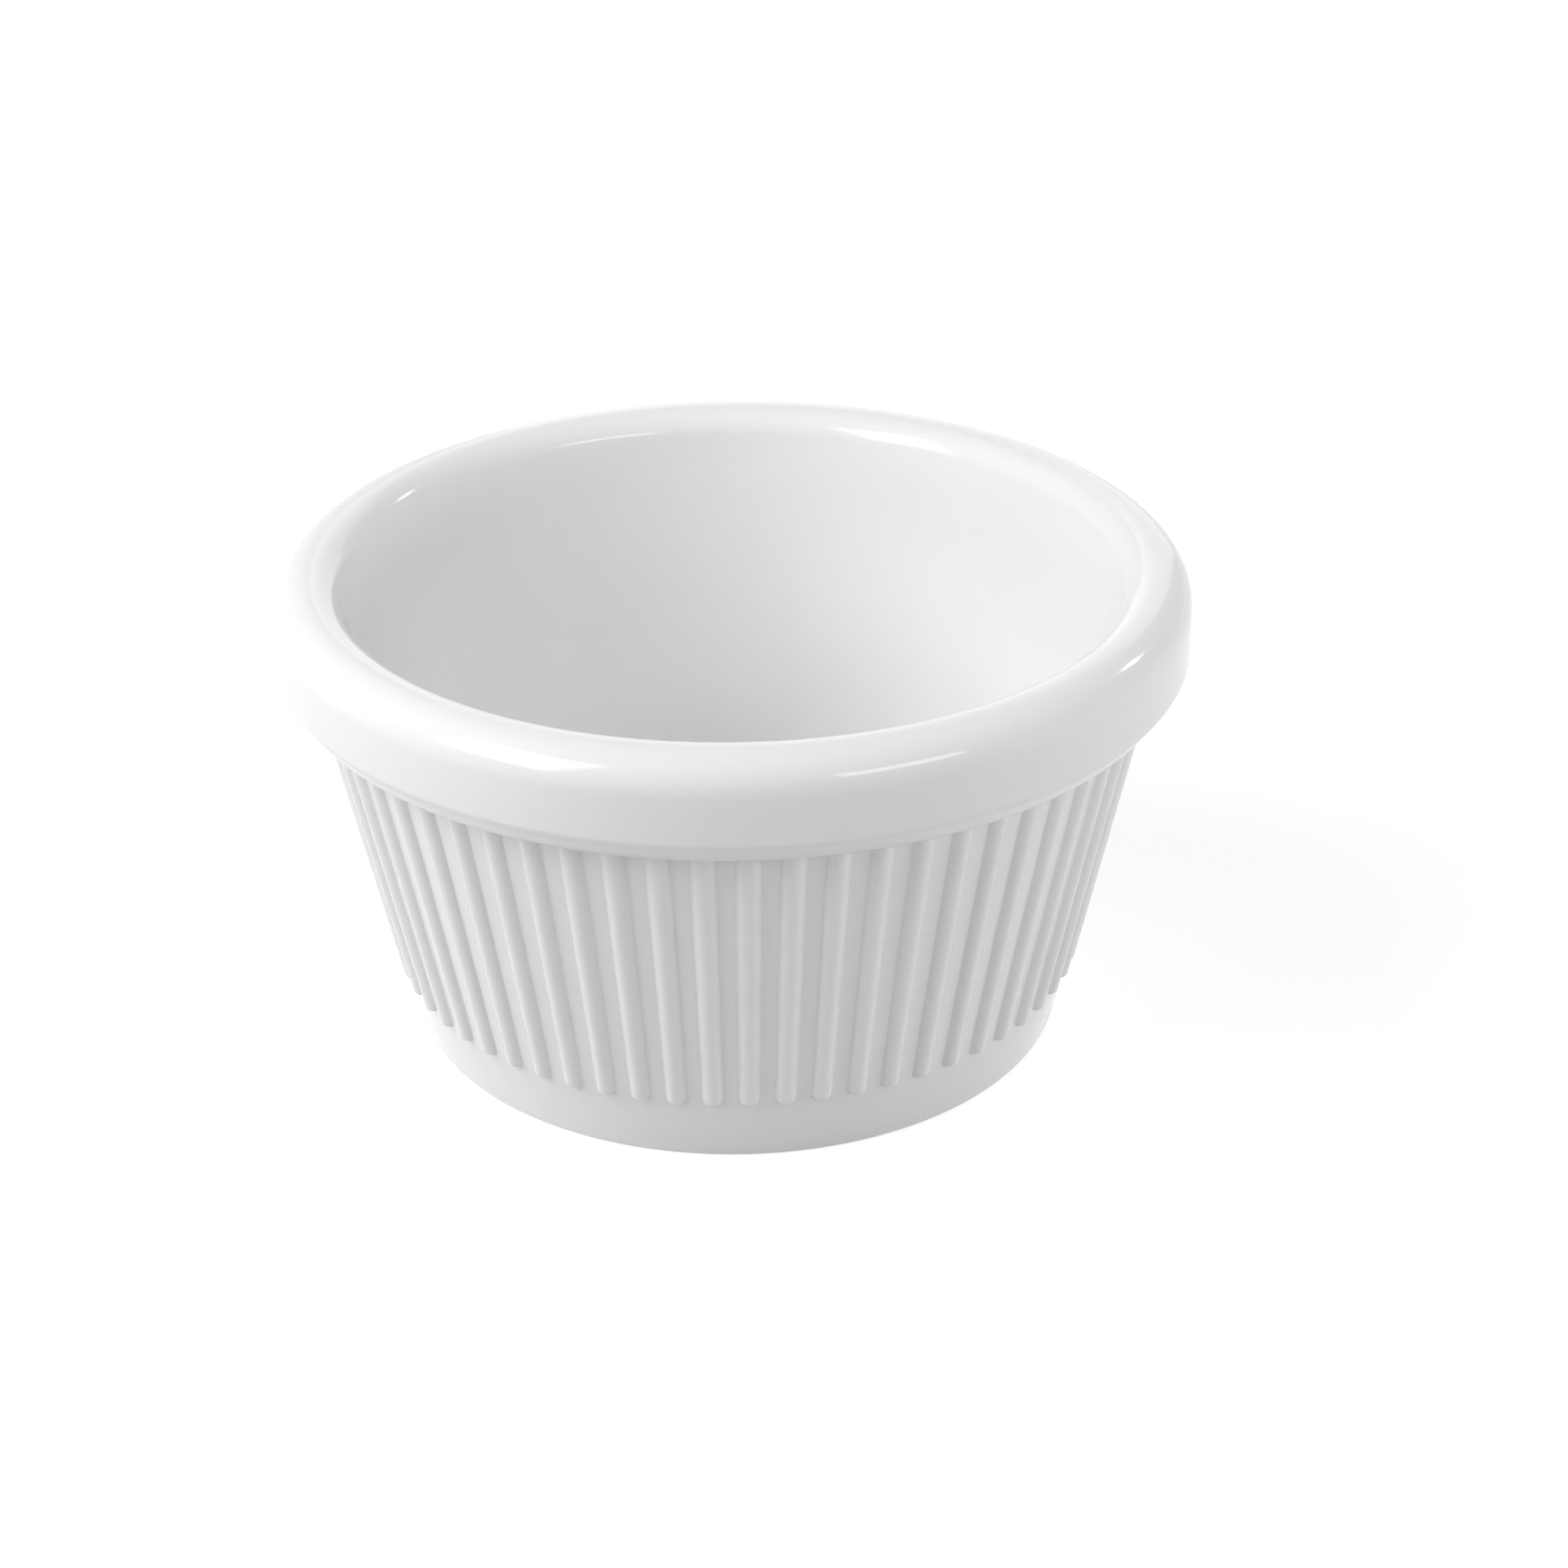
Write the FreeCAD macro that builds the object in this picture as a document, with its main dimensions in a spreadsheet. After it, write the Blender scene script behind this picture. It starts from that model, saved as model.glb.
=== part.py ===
import FreeCAD, Part
import math
import os

import Sketcher

# Ramekin: one moulding with a rolled rim, a tapered wall with upright ribs and a shallow foot ring.
# Millimetres, +Z up, origin at the centre of the face that it stands on.

# Driving dimensions
DIMENSIONS = [
    ("rim_diameter", 82.5, "across the rolled rim"),
    ("height", 44.5, "table to the top of the rim"),
    ("base_diameter", 60.1, "across the foot, at the sharp corner of wall and table"),
    ("wall_thickness", 3.9, "square to the wall, between the ribs"),
    ("floor_thickness", 3.5, "inside floor to the recess under it"),
    ("floor_round", 6.0, "radius inside, between floor and wall"),
    ("rim_height", 7.65, "top of the rim to the lower corner of its side"),
    ("rim_bevel_run", 1.45, "rim's side to the edge of its level underside, measured in"),
    ("rim_bevel_drop", 1.95, "lower corner of the rim's side to its underside, measured down"),
    ("rim_overhang", 3.7, "side of the rim to the wall under it"),
    ("rim_inner_round", 2.75, "radius between the inside wall and the top of the rim"),
    ("foot_bevel", 0.5, "taken off the corner of wall and foot"),
    ("foot_width", 4.0, "base corner to the inner edge of the foot ring"),
    ("foot_recess", 0.8, "depth of the recess inside the foot ring"),
    ("rib_count", 62, "ribs round the wall"),
    ("rib_width", 2.17, "across a rib where it enters the rim; it narrows with the wall"),
    ("rib_height", 0.64, "rib crest out from the wall, measured level"),
    ("rib_foot", 6.3, "table to the lower end of a rib"),
]

# Worked out from the driving dimensions
UNDERSIDE = "(Sizes.height - Sizes.rim_height - Sizes.rim_bevel_drop)"
WALL_SLOPE = f"((Sizes.rim_diameter - Sizes.base_diameter) / 2 - Sizes.rim_overhang) / {UNDERSIDE}"
RIB_FOOT = "Sizes.rib_foot"
RIB_HEAD = "(Sizes.height - Sizes.rim_height)"
RIB_ROOT = "Sizes.wall_thickness / 4"

doc = FreeCAD.newDocument("ramekin")
sheet = doc.addObject("Spreadsheet::Sheet", "Sizes")
for row, (alias, value, meaning) in enumerate(DIMENSIONS, start=1):
    sheet.set(f"A{row}", alias)
    sheet.set(f"B{row}", str(value))
    sheet.setAlias(f"B{row}", alias)
    sheet.set(f"C{row}", meaning)
doc.recompute()

# A sketch's own numbers for its axes and for the points of a line or arc
AXIS_Y, AXIS_X = range(-2, 0)
START, END, CENTRE = range(1, 4)
ORIGIN = (AXIS_X, START)


def size(alias):
    return float(sheet.get(alias))


def origin_feature(body, role):
    return next(feature for feature in body.Origin.OriginFeatures if feature.Role == role)


def new_sketch(body, name, plane):
    sketch = body.newObject("Sketcher::SketchObject", name)
    sketch.AttachmentSupport = (origin_feature(body, plane), [""])
    sketch.MapMode = "FlatFace"
    return sketch


def point(x, y):
    return FreeCAD.Vector(x, y, 0)


def add_line(sketch, start, end):
    return sketch.addGeometry(Part.LineSegment(point(*start), point(*end)), False)


def add_arc(sketch, start, middle, end):
    return sketch.addGeometry(Part.Arc(point(*start), point(*middle), point(*end)), False)


def add_point(sketch, place):
    return sketch.addGeometry(Part.Point(point(*place)), True)


def constrain(sketch, kind, *what):
    return sketch.addConstraint(Sketcher.Constraint(kind, *what))


def drive(sketch, name, expression, kind, *what):
    """A named dimension that takes its value from the sheet."""
    index = constrain(sketch, kind, *what)
    sketch.renameConstraint(index, name)
    sketch.setExpression(f"Constraints.{name}", expression)


def join_corners(sketch, *lines):
    """Joins each line's end to the next one's start."""
    for line, following in zip(lines, lines[1:]):
        constrain(sketch, "Coincident", line, END, following, START)


# Outside and inside profile of the moulding, revolved about the upright axis
def wall_profile(body):
    """On the XZ plane: x is the radius and y the height."""
    sketch = new_sketch(body, "WallProfile", "XZ_Plane")
    rim = size("rim_diameter") / 2
    top = size("height")
    base = size("base_diameter") / 2
    corner_height = top - size("rim_height")
    under = corner_height - size("rim_bevel_drop")
    lip = rim - size("rim_bevel_run")
    neck = rim - size("rim_overhang")
    slope = (neck - base) / under
    recess = size("foot_recess")
    floor = recess + size("floor_thickness")
    foot_inner = base - size("foot_width")
    bevel = size("foot_bevel")
    inner = size("rim_inner_round")
    bowl = size("floor_round")

    def outside(height):
        return base + slope * height

    def inside(height):
        return outside(height) - size("wall_thickness") * math.hypot(1, slope)

    # Rough places are enough: the constraints below settle the exact ones
    crest = inside(top - inner) + inner
    outer = rim - crest
    recess_roof = add_line(sketch, (0, recess), (foot_inner - recess, recess))
    recess_side = add_line(sketch, (foot_inner - recess, recess), (foot_inner, 0))
    foot = add_line(sketch, (foot_inner, 0), (base - bevel, 0))
    foot_edge = add_line(sketch, (base - bevel, 0), (outside(bevel), bevel))
    wall = add_line(sketch, (outside(bevel), bevel), (neck, under))
    underside = add_line(sketch, (neck, under), (lip, under))
    rim_bevel = add_line(sketch, (lip, under), (rim, corner_height))
    side = add_line(sketch, (rim, corner_height), (rim, top - outer))
    outer_middle = (rim - 0.3 * outer, top - 0.3 * outer)
    outer_arc = add_arc(sketch, (rim, top - outer), outer_middle, (crest, top))
    inner_middle = (crest - 0.7 * inner, top - 0.3 * inner)
    inner_end = (inside(top - inner), top - inner)
    inner_arc = add_arc(sketch, (crest, top), inner_middle, inner_end)
    bowl_start = (inside(floor + bowl), floor + bowl)
    bowl_middle = (inside(floor) - 0.3 * bowl, floor + 0.3 * bowl)
    bowl_end = (inside(floor) - bowl, floor)
    inside_wall = add_line(sketch, inner_end, bowl_start)
    bowl_arc = add_arc(sketch, bowl_start, bowl_middle, bowl_end)
    inside_floor = add_line(sketch, bowl_end, (0, floor))
    axis = add_line(sketch, (0, floor), (0, recess))

    # An arc runs counter-clockwise, so the profile passes along the hollow bowl_arc from its end to its start
    join_corners(sketch, recess_roof, recess_side, foot, foot_edge, wall, underside, rim_bevel, side)
    join_corners(sketch, inside_floor, axis, recess_roof)
    for before, leaving, after, entering in [
        (side, END, outer_arc, START),
        (outer_arc, END, inner_arc, START),
        (inner_arc, END, inside_wall, START),
        (inside_wall, END, bowl_arc, END),
        (bowl_arc, START, inside_floor, START),
    ]:
        constrain(sketch, "Tangent", before, leaving, after, entering)

    for level in (recess_roof, foot, underside, inside_floor):
        constrain(sketch, "Horizontal", level)
    constrain(sketch, "Vertical", side)
    constrain(sketch, "Vertical", outer_arc, CENTRE, outer_arc, END)
    constrain(sketch, "Parallel", wall, inside_wall)
    constrain(sketch, "PointOnObject", axis, START, AXIS_Y)
    constrain(sketch, "PointOnObject", axis, END, AXIS_Y)
    constrain(sketch, "PointOnObject", foot, START, AXIS_X)
    base_corner = add_point(sketch, (base, 0))
    constrain(sketch, "PointOnObject", base_corner, START, AXIS_X)
    constrain(sketch, "PointOnObject", base_corner, START, wall)

    for name, expression, what in [
        ("base_half", "Sizes.base_diameter / 2", (*ORIGIN, base_corner, START, base)),
        ("rim_half", "Sizes.rim_diameter / 2", (*ORIGIN, side, START, rim)),
        ("overhang", "Sizes.rim_overhang", (wall, END, side, START, rim - neck)),
        ("rim_bevel_run", "Sizes.rim_bevel_run", (rim_bevel, START, rim_bevel, END, rim - lip)),
        ("bevel_run", "Sizes.foot_bevel", (foot, END, base_corner, START, bevel)),
        ("foot_ring", "Sizes.foot_width", (foot, START, base_corner, START, base - foot_inner)),
        ("recess_run", "Sizes.foot_recess", (recess_side, START, recess_side, END, recess)),
    ]:
        drive(sketch, name, expression, "DistanceX", *what)
    for name, expression, what in [
        ("top_height", "Sizes.height", (*ORIGIN, outer_arc, END, top)),
        ("rim_drop", "Sizes.rim_height", (side, START, outer_arc, END, top - corner_height)),
        ("rim_bevel_drop", "Sizes.rim_bevel_drop", (rim_bevel, START, rim_bevel, END, corner_height - under)),
        ("bevel_rise", "Sizes.foot_bevel", (foot, END, wall, START, bevel)),
        ("recess_depth", "Sizes.foot_recess", (*ORIGIN, axis, END, recess)),
        ("floor_depth", "Sizes.floor_thickness", (axis, END, axis, START, floor - recess)),
    ]:
        drive(sketch, name, expression, "DistanceY", *what)
    for name, arc, radius in [
        ("rim_inner_round", inner_arc, inner),
        ("floor_round", bowl_arc, bowl),
    ]:
        drive(sketch, name, f"Sizes.{name}", "Radius", arc, radius)
    thickness = (inside_wall, START, wall, size("wall_thickness"))
    drive(sketch, "wall_thickness", "Sizes.wall_thickness", "Distance", *thickness)
    return sketch


def wall_radius(level):
    return f"(Sizes.base_diameter / 2 + {WALL_SLOPE} * {level})"


def rib_section(body, name, level):
    """A rib cut level: a round bead in five flats, the outer two running on into the wall as its root."""
    sketch = new_sketch(body, name, "XY_Plane")
    sketch.setExpression("AttachmentOffset.Base.z", level)
    width = f"(Sizes.rib_width * {wall_radius(level)} / {wall_radius(UNDERSIDE)})"
    bead_radius = f"(({width}^2 / 4 + Sizes.rib_height^2) / (2 * Sizes.rib_height))"
    flat = f"2 * {bead_radius} * sin(asin({width} / 2 / {bead_radius}) / 5)"

    # Rough places again, looking down on a rib at +X
    out = size("base_diameter") / 2
    half = size("rib_width") / 2
    rise = size("rib_height")
    corners = [
        (out - half, -1.5 * half),
        (out + 0.6 * rise, -0.6 * half),
        (out + rise, -0.2 * half),
        (out + rise, 0.2 * half),
        (out + 0.6 * rise, 0.6 * half),
        (out - half, 1.5 * half),
    ]
    lines = [add_line(sketch, start, end) for start, end in zip(corners, corners[1:] + corners[:1])]
    right_flank, right_shoulder, crest, left_shoulder, left_flank, root = lines
    bead = sketch.addGeometry(Part.Circle(point(out, 0), FreeCAD.Vector(0, 0, 1), half), True)
    right_edge = add_point(sketch, (out, -half))
    left_edge = add_point(sketch, (out, half))

    join_corners(sketch, *lines, right_flank)
    constrain(sketch, "PointOnObject", bead, CENTRE, AXIS_X)
    for line in (right_shoulder, crest, left_shoulder, left_flank):
        constrain(sketch, "PointOnObject", line, START, bead)
    constrain(sketch, "Equal", right_shoulder, crest)
    constrain(sketch, "Equal", left_shoulder, crest)
    constrain(sketch, "Vertical", crest)
    constrain(sketch, "Vertical", root)
    for edge, flank in [(right_edge, right_flank), (left_edge, left_flank)]:
        constrain(sketch, "PointOnObject", edge, START, bead)
        constrain(sketch, "PointOnObject", edge, START, flank)
    constrain(sketch, "Vertical", right_edge, START, left_edge, START)

    drive(sketch, "width", width, "DistanceY", right_edge, START, left_edge, START, 2 * half)
    drive(sketch, "bead_radius", bead_radius, "Radius", bead, half)
    drive(sketch, "flat", flat, "DistanceY", crest, START, crest, END, 0.4 * half)
    drive(sketch, "wall", wall_radius(level), "DistanceX", *ORIGIN, left_edge, START, out)
    drive(sketch, "root", RIB_ROOT, "DistanceX", root, START, left_edge, START, half)
    return sketch


body = doc.addObject("PartDesign::Body", "Ramekin")
body.Label = "ramekin_body"

moulding_profile = wall_profile(body)
moulding = body.newObject("PartDesign::Revolution", "Moulding")
moulding.Profile = moulding_profile
moulding.ReferenceAxis = (moulding_profile, ["V_Axis"])
moulding.Angle = 360
body.Tip = moulding
doc.recompute()

# The upper section is inside the rim, so each rib runs into the rim's underside
rib = body.newObject("PartDesign::AdditiveLoft", "Rib")
rib.Profile = rib_section(body, "RibFoot", RIB_FOOT)
rib.Sections = [rib_section(body, "RibHead", RIB_HEAD)]
rib.Ruled = True
body.Tip = rib
doc.recompute()

ribs = body.newObject("PartDesign::PolarPattern", "Ribs")
ribs.Originals = [rib]
ribs.Axis = (origin_feature(body, "Z_Axis"), [""])
ribs.Angle = 360
ribs.setExpression("Occurrences", "Sizes.rib_count")
body.Tip = ribs
doc.recompute()

failed = [thing.Name for thing in doc.Objects if {"Invalid", "Error"} & set(thing.State)]
if failed:
    raise RuntimeError(f"these objects failed: {failed}")
shape = body.Shape
if shape.isNull() or not shape.isValid() or len(shape.Solids) != 1:
    raise RuntimeError("the ramekin is not one valid solid")
rib_volume = shape.Volume - moulding.Shape.Volume
print(f"{body.Label}: {shape.Volume / 1000:.2f} cm3, of which {rib_volume / 1000:.3f} cm3 in the ribs")

os.makedirs("parts", exist_ok=True)
shape.exportStep(f"parts/{body.Label}.step")
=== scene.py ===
# %% [markdown]
# # A ribbed white ramekin
# The real dish is one moulding: a tapered bowl with a smooth inside, a rolled rim that stands out over
# the wall, and a ring of fine upright ribs on the outside. It stands on a low foot ring.
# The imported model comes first. It gives the two sizes that everything else hangs on, the rim's radius
# and the height, and it is the frame that the finished piece has to stay in.

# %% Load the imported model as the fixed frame
import math

import bmesh
import bpy
from mathutils import Matrix, Vector


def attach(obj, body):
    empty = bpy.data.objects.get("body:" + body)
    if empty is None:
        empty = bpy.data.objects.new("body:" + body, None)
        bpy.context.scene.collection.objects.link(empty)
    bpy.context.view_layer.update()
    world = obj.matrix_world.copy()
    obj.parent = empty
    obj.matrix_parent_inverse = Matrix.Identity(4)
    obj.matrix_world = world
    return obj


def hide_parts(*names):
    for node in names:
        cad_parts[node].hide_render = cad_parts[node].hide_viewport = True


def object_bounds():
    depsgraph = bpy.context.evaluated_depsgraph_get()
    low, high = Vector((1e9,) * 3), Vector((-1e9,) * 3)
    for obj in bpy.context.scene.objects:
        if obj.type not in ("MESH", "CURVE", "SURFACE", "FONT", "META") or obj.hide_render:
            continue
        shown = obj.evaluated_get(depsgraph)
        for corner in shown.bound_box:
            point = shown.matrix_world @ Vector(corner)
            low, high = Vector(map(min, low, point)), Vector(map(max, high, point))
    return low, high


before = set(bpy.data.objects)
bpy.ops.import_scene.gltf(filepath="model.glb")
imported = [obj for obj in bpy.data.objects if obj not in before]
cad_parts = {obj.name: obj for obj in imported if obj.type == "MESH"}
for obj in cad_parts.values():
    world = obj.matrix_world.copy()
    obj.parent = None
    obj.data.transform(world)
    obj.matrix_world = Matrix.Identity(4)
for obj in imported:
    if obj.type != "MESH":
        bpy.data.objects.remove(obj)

MM = 0.001
cad_low, cad_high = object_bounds()
RIM_RADIUS = min(cad_high.x - cad_low.x, cad_high.y - cad_low.y) / 2
HEIGHT = cad_high.z
scene = bpy.context.scene
print(f"frame: rim radius {RIM_RADIUS / MM:.2f} mm, height {HEIGHT / MM:.2f} mm")

# %% [markdown]
# ## Camera
# A photograph's viewpoint can be set by eye, but a dish of revolution gives it away: the ellipses of rim
# and foot fix how high the camera stands and how far off it is. The camera is built as a photographer
# would set it up. It stands back from the middle of the dish, is raised and tilted down, then turned,
# nodded and rolled a little.
# The small turn about the upright axis brings the ribs to where the photograph has them.

# %% Place the camera
PHOTO_SIDE = 1932
FOCAL_PIXELS = 4239
SENSOR = 36.0
CAMERA_DISTANCE = 319.7 * MM
CAMERA_RAISE = math.radians(27.24)
CAMERA_ROUND = math.radians(1.47)
# Turned, nodded and rolled, in radians
LOOK_RIGHT = 0.01394
LOOK_UP = -0.00254
CAMERA_ROLL = -0.01359

lens = bpy.data.cameras.new("photo_lens")
lens.sensor_width = SENSOR
lens.lens = FOCAL_PIXELS / PHOTO_SIDE * SENSOR
lens.clip_start = 0.01
lens.clip_end = 20.0
camera = bpy.data.objects.new("photo_camera", lens)
scene.collection.objects.link(camera)
scene.camera = camera
stand = Vector((0, -math.cos(CAMERA_RAISE), math.sin(CAMERA_RAISE))) * CAMERA_DISTANCE
stand.z += HEIGHT / 2
camera.matrix_world = (
    Matrix.Rotation(CAMERA_ROUND, 4, "Z")
    @ Matrix.Translation(stand)
    @ Matrix.Rotation(math.pi / 2 - CAMERA_RAISE, 4, "X")
    @ Matrix.Rotation(-LOOK_RIGHT, 4, "Y")
    @ Matrix.Rotation(LOOK_UP, 4, "X")
    @ Matrix.Rotation(CAMERA_ROLL, 4, "Z")
)
camera_height = camera.matrix_world.translation.z
print(f"camera: lens {lens.lens:.1f} mm, {camera_height / MM:.0f} mm above the floor")

# %% [markdown]
# ## Profile of the dish
# A turned or moulded dish is settled by half of its section. It could be made from stacked cylinders or
# by sculpting, but a spun profile gives clean rows all round and every size stays a number.
# The section is drawn as a chain of corners in the plane of X and Z, from the middle of the underside,
# round the foot, up the wall, over the rim, down the bowl and back to the axis. The corners that are
# round on the dish are then rounded by a bevel.

# %% Sizes of the section
BASE_RADIUS = 30.05 * MM
WALL = 3.9 * MM
FLOOR = 4.3 * MM
FOOT_WIDTH = 4.0 * MM
FOOT_RECESS = 0.8 * MM
RIM_HEIGHT = 7.65 * MM
RIM_BEVEL_RUN = 1.45 * MM
RIM_BEVEL_DROP = 1.95 * MM
RIM_OVERHANG = 3.7 * MM

rim_corner_z = HEIGHT - RIM_HEIGHT
neck_z = rim_corner_z - RIM_BEVEL_DROP
neck_radius = RIM_RADIUS - RIM_OVERHANG
wall_slope = (neck_radius - BASE_RADIUS) / neck_z


def wall_radius(z, inset=0.0):
    """Radius of the wall's outside at a height, or of a wall set in from it, square to its slope."""
    return BASE_RADIUS + wall_slope * z - inset * math.hypot(1, wall_slope)


wall_angle = math.degrees(math.atan(wall_slope))
print(f"wall: {wall_angle:.2f} degrees off upright, neck at {neck_z / MM:.2f} mm")

# %% Corners of the section
# Where the ribs start, and the stretch above that which needs close rows for their rounded ends
RIB_FOOT = 6.3 * MM
RIB_END = 1.2 * MM
# Flat left between the two roundings on top of the rim
RIM_LAND = 0.04 * MM
RIM_INNER_ROUND = 2.75 * MM
BEVEL_UPPER_ROUND = 1.0 * MM
BEVEL_LOWER_ROUND = 0.5 * MM
BOWL_ROUND = 6.0 * MM
FOOT_OUTER_ROUND = 0.65 * MM
FOOT_INNER_ROUND = 0.35 * MM
RECESS_ROUND = 0.4 * MM

inner_top = wall_radius(HEIGHT, WALL)
inner_turn = math.pi / 2 - math.atan(wall_slope)
rim_width = RIM_RADIUS - inner_top
rim_outer_round = rim_width - RIM_LAND - RIM_INNER_ROUND * math.tan(inner_turn / 2)

CORNERS = [
    # radius, height, rounding, pieces in the rounding
    (0.0, FOOT_RECESS, 0.0, 0),
    (BASE_RADIUS - FOOT_WIDTH - FOOT_RECESS, FOOT_RECESS, RECESS_ROUND, 3),
    (BASE_RADIUS - FOOT_WIDTH, 0.0, FOOT_INNER_ROUND, 3),
    (BASE_RADIUS, 0.0, FOOT_OUTER_ROUND, 5),
    (wall_radius(RIB_FOOT), RIB_FOOT, 0.0, 0),
    (wall_radius(RIB_FOOT + RIB_END), RIB_FOOT + RIB_END, 0.0, 0),
    (neck_radius, neck_z, 0.0, 0),
    (RIM_RADIUS - RIM_BEVEL_RUN, neck_z, BEVEL_LOWER_ROUND, 4),
    (RIM_RADIUS, rim_corner_z, BEVEL_UPPER_ROUND, 5),
    (RIM_RADIUS, HEIGHT, rim_outer_round, 14),
    (inner_top, HEIGHT, RIM_INNER_ROUND, 12),
    (wall_radius(FLOOR, WALL), FLOOR, BOWL_ROUND, 12),
    (0.0, FLOOR, 0.0, 0),
]
print(f"section: {len(CORNERS)} corners, outer rounding of the rim {rim_outer_round / MM:.2f} mm")

# %% Draw the chain and round its corners
RIB_END_CUTS = 10
RIB_CUTS = 4


def round_corner(mesh, place, radius, pieces):
    """Rounds the corner of the drawn chain at this place with an arc of the given radius."""
    corner = min(mesh.verts, key=lambda vert: (vert.co - place).length)
    to_next = [edge.other_vert(corner).co - corner.co for edge in corner.link_edges]
    turn = math.pi - to_next[0].angle(to_next[1])
    bmesh.ops.bevel(
        mesh, geom=[corner], affect="VERTICES", offset_type="OFFSET",
        offset=radius * math.tan(turn / 2), segments=pieces, profile=0.5, material=-1,
    )


shell = bmesh.new()
chain = [shell.verts.new((radius, 0, height)) for radius, height, *_ in CORNERS]
edges = [shell.edges.new(pair) for pair in zip(chain, chain[1:])]
heights = [height for _, height, *_ in CORNERS]
end_edge = edges[heights.index(RIB_FOOT)]
rib_edge = edges[heights.index(RIB_FOOT + RIB_END)]
bmesh.ops.subdivide_edges(shell, edges=[end_edge], cuts=RIB_END_CUTS)
bmesh.ops.subdivide_edges(shell, edges=[rib_edge], cuts=RIB_CUTS)
for radius, height, rounding, pieces in CORNERS:
    if rounding:
        round_corner(shell, Vector((radius, 0, height)), rounding, pieces)
print(f"profile: {len(shell.verts)} points")

# %% [markdown]
# ## One slice of the dish
# The ribs are round beads that narrow with the wall, blunt at the foot and running into the underside of
# the rim. They could be separate pieces sunk into the wall, but then nothing would join them to the dish
# as in the mould.
# Instead one slice of the dish is spun, as wide as one rib and one groove. The rows of the slice on the
# wall are lifted into a bead, and the slice is then copied round the axis and merged into one closed skin.

# %% Spin one slice
RIB_COUNT = 62
SLICE_COLUMNS = 14
RIB_COLUMNS = 4
UPRIGHT = {"cent": (0, 0, 0), "axis": (0, 0, 1), "dvec": (0, 0, 0)}

pitch = 2 * math.pi / RIB_COUNT
column_step = pitch / SLICE_COLUMNS
to_slice_side = Matrix.Rotation(-pitch / 2, 3, "Z")
bmesh.ops.rotate(shell, verts=shell.verts[:], cent=(0, 0, 0), matrix=to_slice_side)
bmesh.ops.spin(
    shell, geom=shell.verts[:] + shell.edges[:], angle=pitch, steps=SLICE_COLUMNS,
    use_merge=False, use_duplicate=False, **UPRIGHT,
)
print(f"slice: {len(shell.faces)} faces over {math.degrees(pitch):.3f} degrees")

# %% [markdown]
# ## One rib
# In section a rib is an arc of a circle that stands on the wall, and its lower end is rounded over like
# the end of a rod. A sweep along the wall would give the length but not that end.
# So each column of the slice is moved across to its place on the arc, and out to the arc's height there.
# Near the foot the arc shrinks along a quarter circle, which makes the end, and the rows are packed
# closer to show it. The top row slides out level, to stay in the underside of the rim.

# %% The shape of the bead
RIB_HEIGHT = 0.626 * MM
RIB_END_ROUND = 0.5 * MM

half_angle = RIB_COLUMNS * column_step


def bead(radius):
    """Half the rib's width where the wall has this radius, and the radius of its round section."""
    half = radius * math.sin(half_angle)
    return half, (half * half + RIB_HEIGHT * RIB_HEIGHT) / (2 * RIB_HEIGHT)


def end_radius(section, up):
    """The section's radius at a distance above the rib's foot, where the end rounds over."""
    drop = RIB_END_ROUND - min(up, RIB_END_ROUND)
    return section - RIB_END_ROUND + math.sqrt(RIB_END_ROUND**2 - drop**2)


def foot_of_column(section, depth, across):
    """How far above the rib's foot the bead starts at a distance from its middle line."""
    needed = math.hypot(depth, across) - (section - RIB_END_ROUND)
    if needed <= 0:
        return 0.0
    return RIB_END_ROUND - math.sqrt(max(RIB_END_ROUND**2 - needed**2, 0.0))


print(f"rib: {2 * bead(neck_radius)[0] / MM:.2f} mm wide at the neck")

# %% Lift the slice into the bead
CLOSE = 0.001 * MM

wall_up = Vector((wall_slope, 0, 1)).normalized()
wall_out = Vector((1, 0, -wall_slope)).normalized()
foot_point = Vector((wall_radius(RIB_FOOT), 0, RIB_FOOT))
rib_length = (Vector((neck_radius, 0, neck_z)) - foot_point).length


def lift(vert):
    """Moves one point of the slice's wall on to the bead, if the bead is there, and says whether it was."""
    radius = math.hypot(vert.co.x, vert.co.y)
    place = Vector((radius, 0, vert.co.z)) - foot_point
    up = place.dot(wall_up)
    column = round(math.atan2(vert.co.y, vert.co.x) / column_step)
    off_wall = abs(place.dot(wall_out)) > CLOSE
    if off_wall or not -CLOSE < up < rib_length + CLOSE or abs(column) > RIB_COLUMNS:
        return False
    at_foot = up < CLOSE
    at_neck = up > rib_length - CLOSE
    half, section = bead(radius)
    depth = section - RIB_HEIGHT
    across = section * math.sin(column / RIB_COLUMNS * math.asin(half / section))
    start = foot_of_column(section, depth, across)
    if up < RIB_END:
        up = start + (RIB_END - start) * (up / RIB_END) ** 2
    height = math.sqrt(max(end_radius(section, up) ** 2 - across**2, 0.0)) - depth
    if at_foot or abs(column) == RIB_COLUMNS:
        height = 0.0
    point = foot_point + wall_up * up + wall_out * height
    if at_neck:
        point = foot_point + wall_up * rib_length + Vector((height / wall_out.x, 0, 0))
    turned = math.asin(across / radius)
    vert.co = Matrix.Rotation(turned, 3, "Z") @ point
    return True


lifted = sum(lift(vert) for vert in shell.verts)
print(f"bead: {lifted} points of the slice lifted")

# %% Copy the slice round the axis and close the skin
SHARP = math.radians(32)
SAME_POINT = 0.0005 * MM
NO_LENGTH = 0.0002 * MM
CM3 = 1e-6

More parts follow.
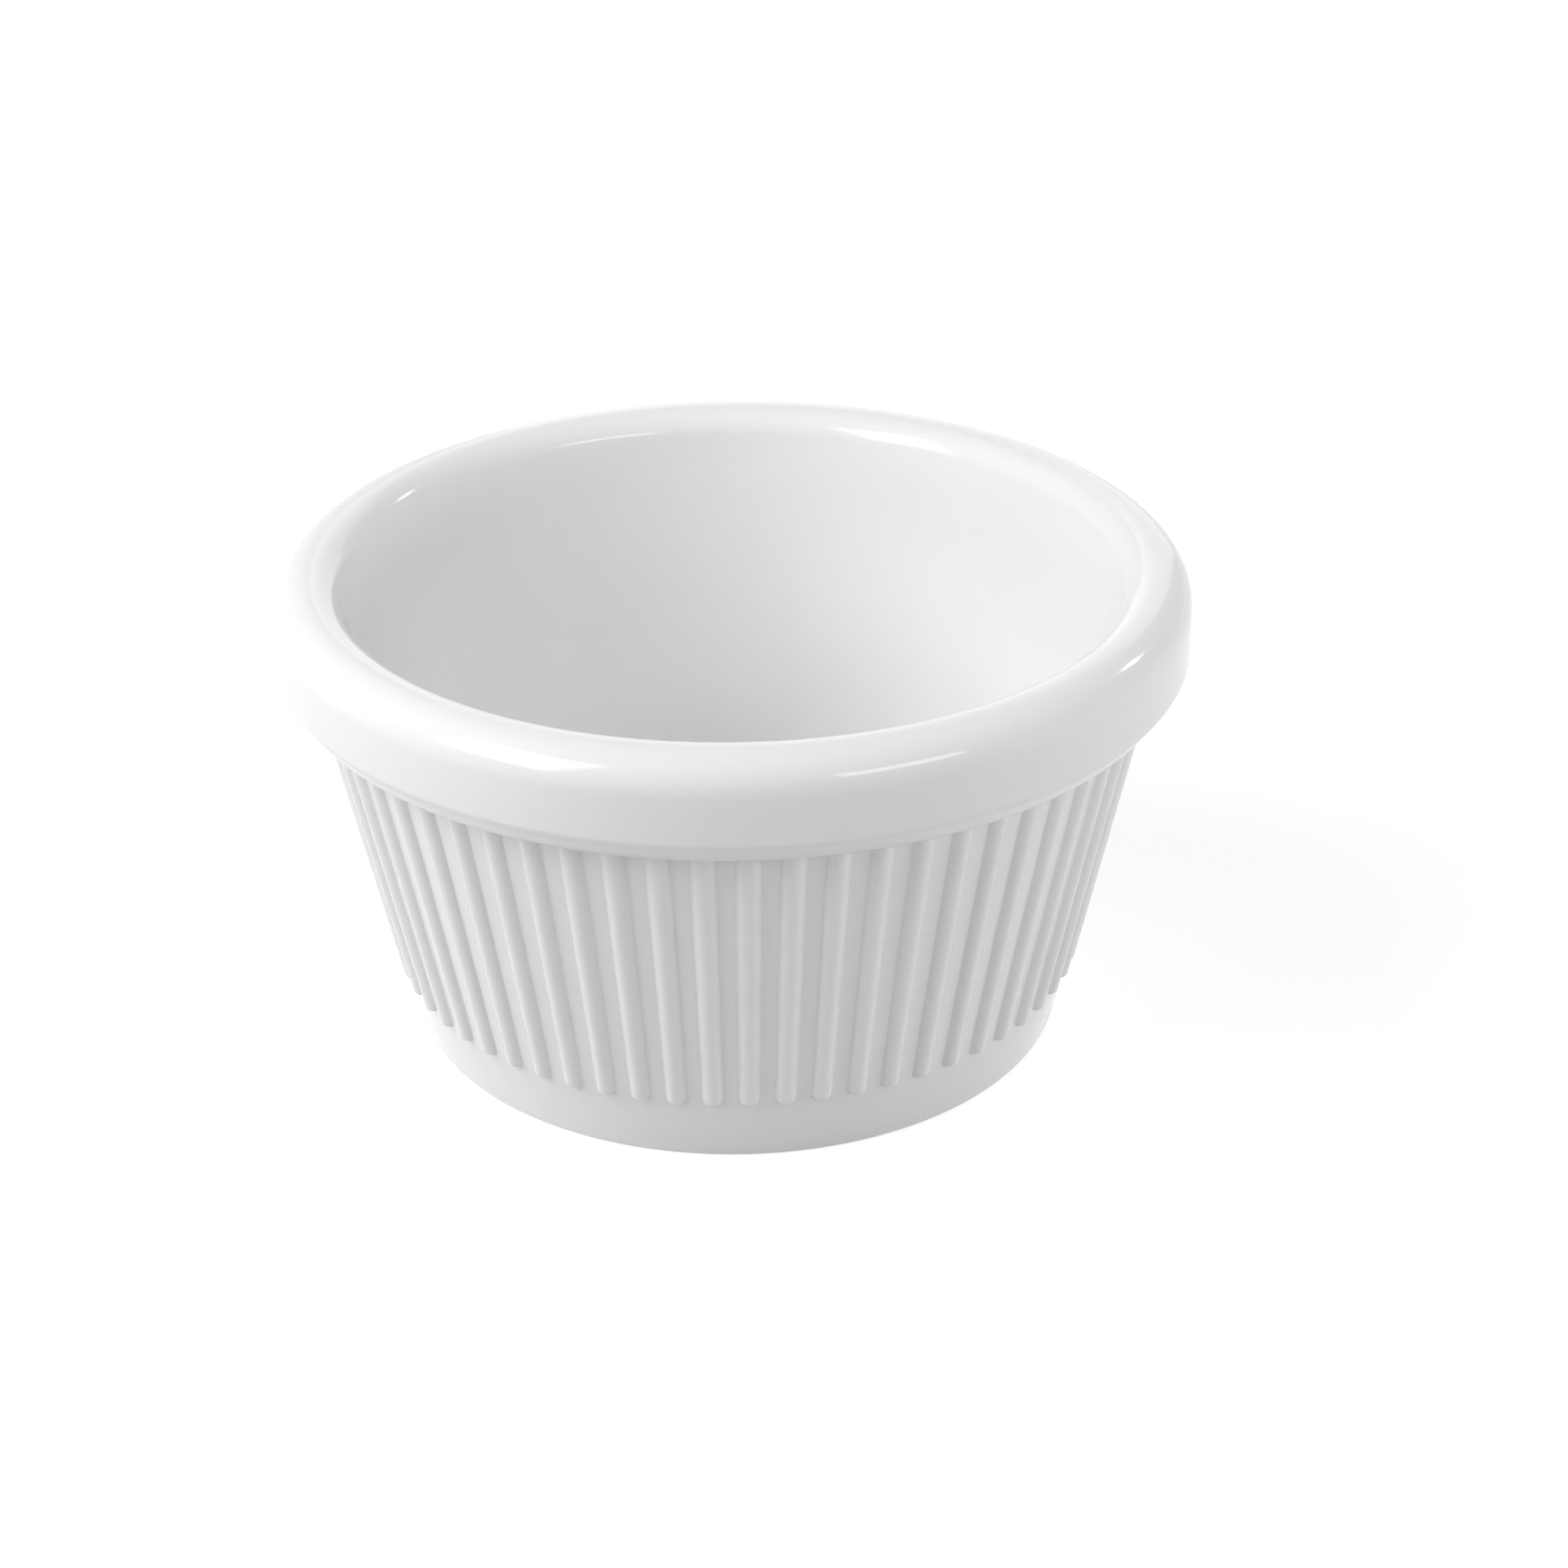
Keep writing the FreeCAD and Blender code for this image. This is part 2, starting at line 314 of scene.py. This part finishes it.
bmesh.ops.spin(
    shell, geom=shell.verts[:] + shell.edges[:] + shell.faces[:], angle=pitch * (RIB_COUNT - 1),
    steps=RIB_COUNT - 1, use_merge=False, use_duplicate=True, **UPRIGHT,
)
bmesh.ops.remove_doubles(shell, verts=shell.verts[:], dist=SAME_POINT)
bmesh.ops.dissolve_degenerate(shell, edges=shell.edges[:], dist=NO_LENGTH)
bmesh.ops.recalc_face_normals(shell, faces=shell.faces[:])
for face in shell.faces:
    face.smooth = True
for edge in shell.edges:
    edge.smooth = edge.calc_face_angle(0.0) < SHARP
open_edges = sum(not edge.is_manifold for edge in shell.edges)
volume = shell.calc_volume(signed=True)
print(f"skin: {len(shell.faces)} faces, {open_edges} open edges, volume {volume / CM3:.2f} cm3")

# %% Make the piece
body_mesh = bpy.data.meshes.new("ramekin_skin")
shell.to_mesh(body_mesh)
shell.free()
ramekin = bpy.data.objects.new("ramekin_skin", body_mesh)
scene.collection.objects.link(ramekin)
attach(ramekin, "root")
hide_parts("ramekin_body")
body_mesh.calc_loop_triangles()
print(f"piece: {len(body_mesh.loop_triangles)} triangles")

# %% [markdown]
# ## Shader arithmetic
# Node trees are easier to read as sums than as wires. This small class holds one output socket, and plus
# and times on it add the Math nodes. Any other node comes from one method: its settings are set first,
# because they decide which sockets it has, and then its sockets get a value or a link.

# %% A socket that answers to operators
class Wire:
    """One output socket of a node tree."""

    def __init__(self, tree, socket=None):
        self.tree = tree
        self.socket = socket

    def node(self, kind, settings=None, sockets=None, output=0):
        """Adds a node, with its settings first and then its sockets' values or links."""
        made = self.tree.nodes.new(kind)
        for name, value in (settings or {}).items():
            setattr(made, name, value)
        for key, value in (sockets or {}).items():
            if isinstance(value, Wire):
                self.tree.links.new(value.socket, made.inputs[key])
            else:
                made.inputs[key].default_value = value
        return Wire(self.tree, made.outputs[output] if made.outputs else None)

    def math(self, operation, first, second):
        """Adds a Math node between two values or wires."""
        return self.node("ShaderNodeMath", {"operation": operation}, {0: first, 1: second})

    def __add__(self, other):
        return self.math("ADD", self, other)

    def __radd__(self, other):
        return self.math("ADD", other, self)

    def __mul__(self, other):
        return self.math("MULTIPLY", self, other)


def new_material(name):
    """A material with nothing but its output, and a Wire to build on."""
    material = bpy.data.materials.new(name)
    material.use_nodes = True
    material.node_tree.nodes.clear()
    return material, Wire(material.node_tree)


def smooth_step(wire, value, start, end, start_level, end_level):
    """A level that passes softly from one to another while the value goes from start to end."""
    return wire.node(
        "ShaderNodeMapRange", {"interpolation_type": "SMOOTHSTEP"},
        {"Value": value, "From Min": start, "From Max": end, "To Min": start_level, "To Max": end_level},
    )


print("shader arithmetic: plus and times on a wire, materials and soft steps")

# %% [markdown]
# ## Melamine
# Moulded melamine is dense and bright, with a hard gloss that is never quite even. The polished mould
# leaves faint waves, washing clouds the gloss in patches, and the rim's crest and the foot ring carry
# fine scuffs.
# A flat white would look like paper, and a painted texture would show its seams on the ribs. So noise on
# the object's own coordinates varies colour, gloss and surface.

# %% White melamine
WHITE = (0.88, 0.88, 0.875, 1.0)
WHITE_SHADE = (0.855, 0.855, 0.85, 1.0)
MELAMINE_IOR = 1.52
GLOSS = 0.08
GLOSS_CLOUDED = 0.05
GLOSS_SCUFFED = 0.04
CREST_DEPTH = 1.6 * MM
FOOT_WEAR = 0.9 * MM
WAVE_DEPTH = 0.02 * MM
CLOUD_NOISE = {"Scale": 55.0, "Detail": 3.0, "Roughness": 0.5}
WAVE_NOISE = {"Scale": 420.0, "Detail": 1.0, "Roughness": 0.4}
SCUFF_NOISE = {"Scale": 1.0, "Detail": 2.0}
SCUFF_STRETCH = (900.0, 900.0, 5200.0)

melamine, wire = new_material("white_melamine")
spot = wire.node("ShaderNodeTexCoord", output="Object")
cloud = wire.node("ShaderNodeTexNoise", sockets={"Vector": spot, **CLOUD_NOISE})
wave = wire.node("ShaderNodeTexNoise", sockets={"Vector": spot, **WAVE_NOISE})
scuff_way = wire.node("ShaderNodeMapping", sockets={"Vector": spot, "Scale": SCUFF_STRETCH})
scuff = wire.node("ShaderNodeTexNoise", sockets={"Vector": scuff_way, **SCUFF_NOISE})
level = wire.node("ShaderNodeSeparateXYZ", sockets={"Vector": spot}, output="Z")
crest = smooth_step(wire, level, HEIGHT - CREST_DEPTH, HEIGHT, 0.0, 1.0)
foot = smooth_step(wire, level, 0.0, FOOT_WEAR, 1.0, 0.0)
colour = wire.node(
    "ShaderNodeMix", {"data_type": "RGBA"}, {"Factor": cloud, "A": WHITE_SHADE, "B": WHITE}, output="Result"
)
roughness = GLOSS + cloud * GLOSS_CLOUDED + (crest + foot) * scuff * GLOSS_SCUFFED
skin_bump = wire.node(
    "ShaderNodeBump", sockets={"Height": wave, "Strength": 0.1, "Distance": WAVE_DEPTH}, output="Normal"
)
finish = wire.node(
    "ShaderNodeBsdfPrincipled",
    sockets={"Base Color": colour, "Roughness": roughness, "IOR": MELAMINE_IOR, "Normal": skin_bump},
)
wire.node("ShaderNodeOutputMaterial", sockets={"Surface": finish})
ramekin.data.materials.append(melamine)
print(f"melamine: {len(melamine.node_tree.nodes)} nodes")

# %% [markdown]
# ## Floor and backdrop
# The photograph shows the dish on plain white with a soft shadow. A white floor could be had by more
# light, but that would bleach the dish. So to the camera the floor glows a pale grey, the lamps lift it to
# white, and where the dish shades it some of that is missing.
# Farther off it glows white by itself, and meets a world that is white to the camera and in the gloss and
# otherwise hardly lights the dish.

# %% Pale floor
FLOOR_REACH = 1.5
FLOOR_TONE = (0.54, 0.54, 0.54, 1.0)
SHADOW_TONE = (0.35, 0.35, 0.35, 1.0)
FLOOR_GLOW = 0.8
GLOW_NEAR = 0.25
GLOW_FAR = 0.5
SEEN_RAYS = ("Is Camera Ray", "Is Glossy Ray", "Is Transmission Ray")


def seen_factor(wire):
    """1 for rays that show a surface to the camera, also in the gloss, and 0 for rays that carry light."""
    camera_ray, glossy_ray, through_ray = (
        wire.node("ShaderNodeLightPath", output=name) for name in SEEN_RAYS
    )
    return camera_ray + glossy_ray + through_ray


ground = bmesh.new()
bmesh.ops.create_grid(ground, x_segments=1, y_segments=1, size=FLOOR_REACH)
floor_mesh = bpy.data.meshes.new("pale_floor")
ground.to_mesh(floor_mesh)
ground.free()
pale_floor = bpy.data.objects.new("pale_floor", floor_mesh)
scene.collection.objects.link(pale_floor)

floor_paint, wire = new_material("pale_floor")
matt = wire.node("ShaderNodeBsdfDiffuse", sockets={"Color": FLOOR_TONE})
shaded = wire.node("ShaderNodeBsdfDiffuse", sockets={"Color": SHADOW_TONE})
floor_spot = wire.node("ShaderNodeTexCoord", output="Object")
away = wire.node("ShaderNodeVectorMath", {"operation": "LENGTH"}, {0: floor_spot}, output="Value")
glow_level = smooth_step(wire, away, GLOW_NEAR, GLOW_FAR, FLOOR_GLOW, 1.0)
glow = wire.node("ShaderNodeEmission", sockets={"Color": glow_level, "Strength": 1.0})
shown = wire.node("ShaderNodeAddShader", sockets={0: shaded, 1: glow})
floor_look = wire.node("ShaderNodeMixShader", sockets={"Fac": seen_factor(wire), 1: matt, 2: shown})
wire.node("ShaderNodeOutputMaterial", sockets={"Surface": floor_look})
pale_floor.data.materials.append(floor_paint)
print(f"floor: {2 * FLOOR_REACH:.0f} m across")

# %% White world
WORLD_LEVEL = 0.01
WORLD_WHITE = (1.0, 1.0, 1.0, 1.0)

world = bpy.data.worlds.new("studio")
world.use_nodes = True
world.node_tree.nodes.clear()
wire = Wire(world.node_tree)
plain = wire.node("ShaderNodeBackground", sockets={"Color": WORLD_WHITE, "Strength": WORLD_LEVEL})
white = wire.node("ShaderNodeBackground", sockets={"Color": WORLD_WHITE, "Strength": 1.0})
world_look = wire.node("ShaderNodeMixShader", sockets={"Fac": seen_factor(wire), 1: plain, 2: white})
wire.node("ShaderNodeOutputWorld", sockets={"Surface": world_look})
scene.world = world
scene.view_settings.view_transform = "Standard"
print(f"world: level {WORLD_LEVEL}")

# %% [markdown]
# ## Lamps
# The dish is brightest on its left, a little less bright on its right and dimmest towards the camera. One
# strong lamp with a reflector would come near, but the bowl's even inside needs light from all round.
# Soft panels stand to the left, the right, behind and overhead, and three low fills stand for the light
# that pale surroundings throw back. Broad panels would lay a veil on the gloss, so most of them are kept
# out of it.
# The strip and the small lamp are there for it: they make the line and the two bright dots on the rim.

# %% Soft panels round the dish
LAMP_DISTANCE = 0.6


def soft_panel(name, azimuth, elevation, width, tall, watts, mirrored=True):
    """A panel lamp that faces the dish and shows in its gloss if mirrored.

    Azimuth 0 is towards the camera and 90 to its right. Angles are in degrees, sizes in metres.
    """
    panel = bpy.data.lights.new(name, "AREA")
    panel.shape = "RECTANGLE"
    panel.size = width
    panel.size_y = tall
    panel.energy = watts
    around = math.radians(azimuth) + CAMERA_ROUND
    above = math.radians(elevation)
    level_way = Vector((math.sin(around), -math.cos(around), 0))
    way = level_way * math.cos(above) + Vector((0, 0, math.sin(above)))
    lamp = bpy.data.objects.new(name, panel)
    lamp.location = way * LAMP_DISTANCE + Vector((0, 0, HEIGHT / 2))
    lamp.rotation_euler = way.to_track_quat("Z", "Y").to_euler()
    lamp.visible_glossy = mirrored
    scene.collection.objects.link(lamp)


soft_panel("left_panel", -90, 43, 0.3, 0.55, 2.12, mirrored=False)
soft_panel("front_left_panel", -57, 35, 0.3, 0.38, 1.34)
soft_panel("right_front_panel", 56, 36, 0.6, 0.55, 0.66, mirrored=False)
soft_panel("right_panel", 100, 45, 0.3, 0.4, 0.36, mirrored=False)
soft_panel("rear_panel", 170, 20, 0.4, 0.4, 0.32)
soft_panel("ceiling_panel", 0, 64, 0.5, 0.3, 0.28, mirrored=False)
soft_panel("right_strip", 40, 29, 0.3, 0.09, 0.34)
soft_panel("small_lamp", 119.5, 28, 0.045, 0.06, 0.13)
soft_panel("left_fill", -80, 5, 0.4, 0.08, 0.4, mirrored=False)
soft_panel("front_fill", 16, 8, 0.6, 0.15, 0.2, mirrored=False)
soft_panel("right_fill", 84, 4, 0.4, 0.08, 0.8, mirrored=False)
